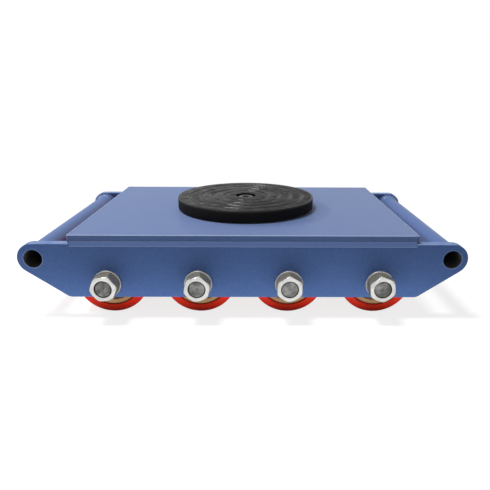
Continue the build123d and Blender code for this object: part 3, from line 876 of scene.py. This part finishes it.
def add_piece(mesh, body, slot, *replaced, finish=None):
    """Puts a mesh in the scene: it rides on a body, has a finish and stands for nodes of the frame."""
    piece = bpy.data.objects.new(mesh.name, mesh)
    bpy.context.scene.collection.objects.link(piece)
    mesh.materials.append(finish or finishes[slot])
    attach(piece, body)
    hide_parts(*replaced)
    triangles = sum(len(face.vertices) - 2 for face in mesh.polygons)
    print("made", piece.name, triangles, "triangles, in place of", ", ".join(replaced))
    return piece


print("finishing tools ready")

# %% [markdown]
# ## Eased plates
#
# Sheet steel that has been cut, ground and powder coated keeps no sharp edge, and it is the narrow round
# along each edge that draws the pale lines in the picture, helped on the deck's rim and the plates' upper
# edges by a paler blue painted there as a highlight. A Bevel modifier on the node would change the frame
# itself. So each plate is copied: the copy's loose triangles are merged, flat neighbours are joined again, so
# that its surface shades smoothly, and every edge that is still sharp is rounded. Bores and holes keep their
# edges, because tubes, axles and the pivot fill them, and the deck keeps its upright corners.

# %% Ease the edges of the plates
BORE_CLEARANCE = 1.0 * MM
AXLE_BORE_REACH = 12 * MM
PIVOT_HOLE_REACH = 30 * MM
FLAT_ANGLE = math.radians(0.3)


def beside_bore(co):
    """True for a point on the edge of a tube's or an axle's bore, or of the deck's pivot hole."""
    tube = math.hypot(abs(co.x) - TUBE_PLACE, co.z - TUBE_HEIGHT)
    axle = min(math.hypot(co.x - x, co.z - AXLE_HEIGHT) for x in AXLE_PLACES)
    pivot = math.hypot(co.x, co.y)
    return tube < TUBE_RADIUS + BORE_CLEARANCE or axle < AXLE_BORE_REACH or pivot < PIVOT_HOLE_REACH


def upright(edge):
    """True for an edge that stands along Z."""
    run = edge.verts[1].co - edge.verts[0].co
    return abs(run.z) > 0.99 * run.length


def eased_plate(node):
    def spared(edge):
        bored = any(beside_bore(vert.co) for vert in edge.verts)
        return bored or (node == "deck_plate" and upright(edge))

    bm = bmesh.new()
    bm.from_mesh(nodes[node].data)
    bmesh.ops.remove_doubles(bm, verts=bm.verts, dist=MERGE_DISTANCE)
    bmesh.ops.dissolve_limit(bm, angle_limit=FLAT_ANGLE, verts=bm.verts, edges=bm.edges)
    print("eased", soften(bm, PLATE_EASE, segments=3, spared=spared), "edges of", node)
    return close_mesh(bm, f"eased_{node}")


for node, coat in (("deck_plate", deck_coat), ("side_plate_front", None), ("side_plate_rear", None)):
    plate = add_piece(eased_plate(node), "frame", "frame_paint", node, finish=coat)
    plate.modifiers.new("flat_faces_stay_flat", "WEIGHTED_NORMAL").keep_sharp = True

# %% [markdown]
# ## Axles with real threads
#
# An axle is a straight bar with a thread at each end. The thread shows only as a fine chamfered start inside
# the nut, but a plain cylinder there catches the light wrongly. A spin with a step along its own axis is a
# screw: one tooth of the thread is drawn and spun as many turns as the thread is long, then cut flat at both
# ends. A cone turned over the last turns makes the chamfer, and the end face keeps its lathe rings and the
# mark of the centre.

# %% Cut the thread
THREAD_PITCH = 2.0 * MM
THREAD_DEPTH = 0.6134 * THREAD_PITCH
THREAD_STEPS = 48
THREAD_CREST = THREAD_PITCH / 8
THREAD_ROOT = THREAD_PITCH / 4
THREAD_FLANK = (THREAD_PITCH - THREAD_CREST - THREAD_ROOT) / 2
SPARE_TURNS_BELOW = 2
SPARE_TURNS = 3
END_RADIUS = THREAD_RADIUS - 0.45 * MM
FACING_RINGS = [radius * MM for radius in (6.0, 5.3, 4.6, 3.9, 3.2, 2.5)]
FACING_DEPTH = 0.07 * MM
CENTRE_RADIUS = 1.7 * MM
CENTRE_DEPTH = 1.3 * MM


def cut_flat(bm, height, keep_above):
    geometry = bm.verts[:] + bm.edges[:] + bm.faces[:]
    bmesh.ops.bisect_plane(
        bm, geom=geometry, plane_co=(0, 0, height), plane_no=(0, 0, 1), dist=MERGE_DISTANCE,
        clear_inner=keep_above, clear_outer=not keep_above,
    )


def open_edges(bm, height):
    """The open edges that lie at one height."""
    return [
        edge for edge in bm.edges
        if edge.is_boundary and all(abs(vert.co.z - height) < 2 * MERGE_DISTANCE for vert in edge.verts)
    ]


def spun_thread(bm, length):
    """Spins one tooth up past both ends of the thread."""
    root = THREAD_RADIUS - THREAD_DEPTH
    tooth = (
        (0.0, THREAD_RADIUS),
        (THREAD_CREST, THREAD_RADIUS),
        (THREAD_CREST + THREAD_FLANK, root),
        (THREAD_CREST + THREAD_FLANK + THREAD_ROOT, root),
        (THREAD_PITCH, THREAD_RADIUS),
    )
    below = SPARE_TURNS_BELOW * THREAD_PITCH
    verts = [bm.verts.new((radius, 0, height - below)) for height, radius in tooth]
    edges = [bm.edges.new(pair) for pair in zip(verts, verts[1:])]
    turns = math.ceil(length / THREAD_PITCH) + SPARE_TURNS
    bmesh.ops.spin(
        bm, geom=verts + edges, cent=(0, 0, 0), axis=(0, 0, 1), dvec=(0, 0, THREAD_PITCH / THREAD_STEPS),
        angle=2 * math.pi * turns, steps=turns * THREAD_STEPS, use_merge=False,
    )
    bmesh.ops.remove_doubles(bm, verts=bm.verts, dist=MERGE_DISTANCE)


def threaded_end(length):
    """A threaded stub that stands on Z, from 0 to its length."""
    bm = bmesh.new()
    spun_thread(bm, length)
    cut_flat(bm, 0.0, True)
    cut_flat(bm, length, False)
    for vert in bm.verts:
        radius = math.hypot(vert.co.x, vert.co.y)
        cone = END_RADIUS + length - vert.co.z
        if radius > cone:
            vert.co.x *= cone / radius
            vert.co.y *= cone / radius
    bmesh.ops.holes_fill(bm, edges=open_edges(bm, 0.0), sides=0)
    facing = [
        circle(radius, length - FACING_DEPTH * (number % 2))
        for number, radius in enumerate(FACING_RINGS)
    ]
    grow_rings(bm, open_edges(bm, length), [
        *facing,
        circle(CENTRE_RADIUS, length),
        circle(CENTRE_RADIUS * 0.5, length - CENTRE_DEPTH * 0.6),
        circle(0.0, length - CENTRE_DEPTH),
    ])
    return close_mesh(bm, "axle_thread")


print("thread", round(THREAD_PITCH / MM, 2), "mm in pitch and", round(THREAD_DEPTH / MM, 3), "mm deep")

# %% Turn the axles
AXLE_SETBACK = 1.5 * MM
AXLE_RECESS = 0.5 * MM
AXLE_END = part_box("axles")[1].y - AXLE_RECESS
AXLE_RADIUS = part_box("axles")[1].z - AXLE_HEIGHT
SHOULDER = -PLATE_FRONT - AXLE_SETBACK
BAR_SEGMENTS = 72
BAR_ROUNDING = 0.6 * MM


def plain_bar(half_length):
    bm = bmesh.new()
    near_end = first_ring(bm, BAR_SEGMENTS, AXLE_RADIUS, half_length)
    far_end = next_ring(bm, near_end, circle(AXLE_RADIUS, -half_length))
    for end in (near_end, far_end):
        bmesh.ops.holes_fill(bm, edges=end, sides=0)
    soften(bm, BAR_ROUNDING)
    return close_mesh(bm, "axle_bar")


thread = threaded_end(AXLE_END - SHOULDER)
bar = plain_bar(SHOULDER)
placed = []
for x in AXLE_PLACES:
    placed.append((bar, across(x, 0, 1)))
    placed.append((thread, across(x, SHOULDER, 1)))
    placed.append((thread, across(x, -SHOULDER, -1)))
add_piece(join_meshes("turned_axles", placed), "frame", "axle_steel", "axles")

# %% [markdown]
# ## Nuts and washers
#
# A hexagon nut is pressed from bar and then chamfered on a lathe, so the chamfer cuts each flat in a curve.
# In rings that is simple: the hexagon's own radius says how far the cone has come down at that angle. A
# boolean of a prism and two cones would give the same, with a poorer mesh. The nuts stand at the angles that
# the frame's nuts have, which are read from their farthest corners.

# %% Press the nuts
ROWS = (("front", -1), ("rear", 1))
NUT_SEGMENTS = 72
NUT_HEIGHT = NUT_TOP - NUT_SEAT
NUT_HALF_WIDTH = 12.0 * MM
NUT_FACE_RADIUS = NUT_HALF_WIDTH - 0.5 * MM
NUT_CORNER_RADIUS = NUT_HALF_WIDTH / math.cos(math.pi / 6)
NUT_CORNER_DROP = 2.0 * MM
NUT_BORE = THREAD_RADIUS + 0.05 * MM
NUT_ROUNDING = 0.22 * MM


def lower_edge(angle):
    """Radius of the nut, and height at which its lower chamfer ends, at an angle."""
    radius = hexagon(NUT_HALF_WIDTH, angle)
    drop = NUT_CORNER_DROP * (radius - NUT_FACE_RADIUS) / (NUT_CORNER_RADIUS - NUT_FACE_RADIUS)
    return radius, drop


def upper_edge(angle):
    radius, drop = lower_edge(angle)
    return radius, NUT_HEIGHT - drop


def hexagon_nut():
    mouth_depth = NUT_MOUTH - NUT_BORE
    bm = turned_ring(NUT_SEGMENTS, NUT_BORE, mouth_depth, (
        circle(NUT_MOUTH, 0.0),
        circle(NUT_FACE_RADIUS, 0.0),
        lower_edge,
        upper_edge,
        circle(NUT_FACE_RADIUS, NUT_HEIGHT),
        circle(NUT_MOUTH, NUT_HEIGHT),
        circle(NUT_BORE, NUT_HEIGHT - mouth_depth),
    ))
    soften(bm, NUT_ROUNDING)
    return close_mesh(bm, "hexagon_nut")


def corner_turn(node, x, side):
    """Angle of a nut's first corner, seen from its own side, read from the frame."""
    own = [vert.co for vert in nodes[node].data.vertices if abs(vert.co.x - x) < AXLE_PITCH / 2]
    corner = max(own, key=lambda co: math.hypot(co.x - x, co.z - AXLE_HEIGHT))
    return math.atan2(-side * (corner.z - AXLE_HEIGHT), corner.x - x)


nut = hexagon_nut()
for row, side in ROWS:
    node = f"axle_nuts_{row}"
    placed = [(nut, across(x, side * NUT_SEAT, side, corner_turn(node, x, side))) for x in AXLE_PLACES]
    add_piece(join_meshes(f"hexagon_nuts_{row}", placed), "frame", "bright_zinc", node)

# %% [markdown]
# The washers are punched from sheet. The punch draws one edge round and leaves the other crisp, so the outer
# face gets a wider rounding than the inner one.

# %% Punch the washers
WASHER_SEGMENTS = 96
WASHER_THICKNESS = WASHER_HIGH.y - WASHER_LOW.y
WASHER_BORE = THREAD_RADIUS + 0.5 * MM
WASHER_ROUNDING = 1.2 * MM
WASHER_EASE = 0.15 * MM


def punched_washer():
    bm = turned_ring(WASHER_SEGMENTS, WASHER_BORE, 0.0, (
        circle(WASHER_RADIUS, 0.0),
        circle(WASHER_RADIUS, WASHER_THICKNESS - WASHER_ROUNDING),
        circle(WASHER_RADIUS - 0.3 * WASHER_ROUNDING, WASHER_THICKNESS - 0.3 * WASHER_ROUNDING),
        circle(WASHER_RADIUS - WASHER_ROUNDING, WASHER_THICKNESS),
        circle(WASHER_BORE, WASHER_THICKNESS),
    ))
    soften(bm, WASHER_EASE, least_angle=50)
    return close_mesh(bm, "punched_washer")


washer = punched_washer()
for row, side in ROWS:
    placed = [(washer, across(x, side * WASHER_LOW.y, side)) for x in AXLE_PLACES]
    washers = join_meshes(f"punched_washers_{row}", placed)
    add_piece(washers, "frame", "bright_zinc", f"axle_washers_{row}")

# %% [markdown]
# ## The grip pad
#
# The pad is a rubber cap over the turntable plate, with four round grooves in its top. Rubber from a mould
# has no sharp lips, and it is the rounded lips that catch the lamps in small glints. The pad is turned from
# one section: its rings run out over the top, down each groove, round the rim and back along the inside.
# Then every lip is rounded with a bevel.

# %% Mould the pad
PAD_HOLE = 12.0 * MM
PLATE_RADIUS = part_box("turntable_plate")[1].x
PLATE_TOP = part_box("turntable_plate")[1].z
PAD_SEGMENTS = 160
GROOVES = [GROOVE_FIRST + number * GROOVE_PITCH for number in range(4)]
GROOVE_DEPTH = 1.25 * MM
GROOVE_ROUND = (GROOVE_HALF_WIDTH ** 2 + GROOVE_DEPTH ** 2) / (2 * GROOVE_DEPTH)
GROOVE_STEPS = 8
RIM_STEPS = 4
PAD_ROUNDING = 0.5 * MM


def groove_section(groove):
    """Radius and height along a groove, whose bottom is part of a circle."""
    half_turn = math.asin(GROOVE_HALF_WIDTH / GROOVE_ROUND)
    for part in range(GROOVE_STEPS + 1):
        turn = half_turn * (2 * part / GROOVE_STEPS - 1)
        dip = GROOVE_DEPTH - GROOVE_ROUND * (1 - math.cos(turn))
        yield groove + GROOVE_ROUND * math.sin(turn), PAD_TOP - dip


def rim_section():
    """Radius and height along the rounded rim, from the top to the side."""
    for part in range(RIM_STEPS + 1):
        turn = math.radians(90 - 90 * part / RIM_STEPS)
        out = PAD_RADIUS - PAD_RIM + PAD_RIM * math.cos(turn)
        yield out, PAD_TOP - PAD_RIM + PAD_RIM * math.sin(turn)


def moulded_pad():
    section = [(PAD_HOLE, PAD_TOP)]
    for groove in GROOVES:
        section += groove_section(groove)
    section += rim_section()
    section += [(PAD_RADIUS, PAD_LOW.z), (PLATE_RADIUS, PAD_LOW.z), (PLATE_RADIUS, PLATE_TOP)]
    places = [circle(radius, height) for radius, height in section]
    bm = turned_ring(PAD_SEGMENTS, PAD_HOLE, PLATE_TOP, places)
    soften(bm, PAD_ROUNDING, segments=3)
    return close_mesh(bm, "moulded_grip_pad")


add_piece(moulded_pad(), "turntable", "pad_rubber", "grip_pad")

# %% [markdown]
# ## The pivot screw
#
# The turntable hangs on one socket screw, whose head sits in the hole of the pad. A socket head is knurled
# round its side and has a six-sided hole with a cone at the bottom, left by the drill. All of it is rings
# again: the hexagon for the socket, and for the knurl a radius that goes up and down forty-eight times a
# turn.

# %% Turn the pivot screw
SCREW_LOW, SCREW_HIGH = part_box("pivot_screw")
SCREW_SEGMENTS = 96
HEAD_RADIUS = SCREW_HIGH.x
HEAD_TOP = SCREW_HIGH.z
HEAD_BOTTOM = HEAD_TOP - 6.0 * MM
HEAD_CHAMFER = 0.6 * MM
KNURL_DEPTH = 0.25 * MM
SOCKET_HALF_WIDTH = 4.0 * MM
SOCKET_MOUTH = SOCKET_HALF_WIDTH * 1.22
SOCKET_CHAMFER = 0.3 * MM
SOCKET_DEPTH = 3.5 * MM
CONE_DEPTH = 1.0 * MM
CONE_TIP = 0.05 * MM
SHANK_RADIUS = 6.0 * MM
SHANK_CHAMFER = 1.0 * MM


def knurl(height):
    def place(angle):
        tooth = round(angle / (2 * math.pi) * SCREW_SEGMENTS) % 2
        return HEAD_RADIUS - KNURL_DEPTH * tooth, height
    return place


def socket_wall(height):
    return lambda angle: (hexagon(SOCKET_HALF_WIDTH, angle), height)


def socket_screw():
    bm = bmesh.new()
    start = first_ring(bm, SCREW_SEGMENTS, CONE_TIP, HEAD_TOP - SOCKET_DEPTH - CONE_DEPTH)
    bmesh.ops.holes_fill(bm, edges=start, sides=0)
    end = grow_rings(bm, start, (
        socket_wall(HEAD_TOP - SOCKET_DEPTH),
        socket_wall(HEAD_TOP - SOCKET_CHAMFER),
        circle(SOCKET_MOUTH, HEAD_TOP),
        circle(HEAD_RADIUS - HEAD_CHAMFER - KNURL_DEPTH, HEAD_TOP),
        circle(HEAD_RADIUS - KNURL_DEPTH, HEAD_TOP - HEAD_CHAMFER),
        knurl(HEAD_TOP - HEAD_CHAMFER - KNURL_DEPTH),
        knurl(HEAD_BOTTOM + HEAD_CHAMFER),
        circle(HEAD_RADIUS - KNURL_DEPTH, HEAD_BOTTOM),
        circle(SHANK_RADIUS, HEAD_BOTTOM),
        circle(SHANK_RADIUS, SCREW_LOW.z + SHANK_CHAMFER),
        circle(SHANK_RADIUS - SHANK_CHAMFER, SCREW_LOW.z),
    ))
    bmesh.ops.holes_fill(bm, edges=end, sides=0)
    return close_mesh(bm, "socket_screw")


add_piece(socket_screw(), "frame", "dark_screw", "pivot_screw")

# %% [markdown]
# ## Weld beads
#
# The tie tubes are welded to the plates all round. Such a bead is a hollow fillet with faint ripples where
# the pool froze, and paint runs over it. It is turned from a curved section and then each ring is pushed in
# and out a little with the angle, which is enough to break up the highlight.

# %% Lay the tube welds
PLATE_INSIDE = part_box("side_plate_rear")[0].y
BEAD_EXTRA = 1.0 * MM
BEAD_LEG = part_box("tube_welds")[1].x - TUBE_PLACE - TUBE_RADIUS + BEAD_EXTRA
BEAD_STEPS = 144
BEAD_SECTIONS = 6
BEAD_SAG = 0.32
BEAD_RIPPLE = 0.07 * MM
BEAD_RIPPLES = 30
RIPPLE_DRIFT = 1.3


def rippled(share):
    """A ring at a share of the way down the bead, from the plate to the tube."""
    sag = BEAD_SAG * BEAD_LEG * math.sin(math.pi * share)
    out = BEAD_LEG * (1 - share) - sag * 0.5
    down = BEAD_LEG * share - sag * 0.5
    ripple = BEAD_RIPPLE * math.sin(math.pi * share)

    def place(angle):
        wave = ripple * math.sin(BEAD_RIPPLES * angle + RIPPLE_DRIFT * math.sin(3 * angle))
        return TUBE_RADIUS + out + wave, -down - wave
    return place


def weld_bead():
    """A bead round Z: its root is at the origin's height, on a tube that goes down from there."""
    bm = turned_ring(BEAD_STEPS, TUBE_RADIUS, 0.0, [
        circle(TUBE_RADIUS + BEAD_LEG, 0.0),
        *[rippled(part / BEAD_SECTIONS) for part in range(1, BEAD_SECTIONS)],
        circle(TUBE_RADIUS, -BEAD_LEG),
    ])
    return close_mesh(bm, "tube_weld_bead")


bead = weld_bead()
lift = Matrix.Translation((0, 0, TUBE_HEIGHT - AXLE_HEIGHT))
placed = [
    (bead, lift @ across(end * TUBE_PLACE, side * PLATE_INSIDE, side))
    for end in (-1, 1)
    for side in (-1, 1)
]
add_piece(join_meshes("tube_weld_beads", placed), "frame", "frame_paint", "tube_welds", finish=weld_coat)

# %% [markdown]
# ## Closing the scene
#
# The dressed skate should fit the box of the bare one, so the last line prints how far the dressed skate
# reaches beyond that box.

# %% Print how far the skate grew
dressed_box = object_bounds()
growth = (*(cad_box[0] - dressed_box[0]), *(dressed_box[1] - cad_box[1]))
print("grown by", [round(value / MM, 3) for value in growth], "mm")
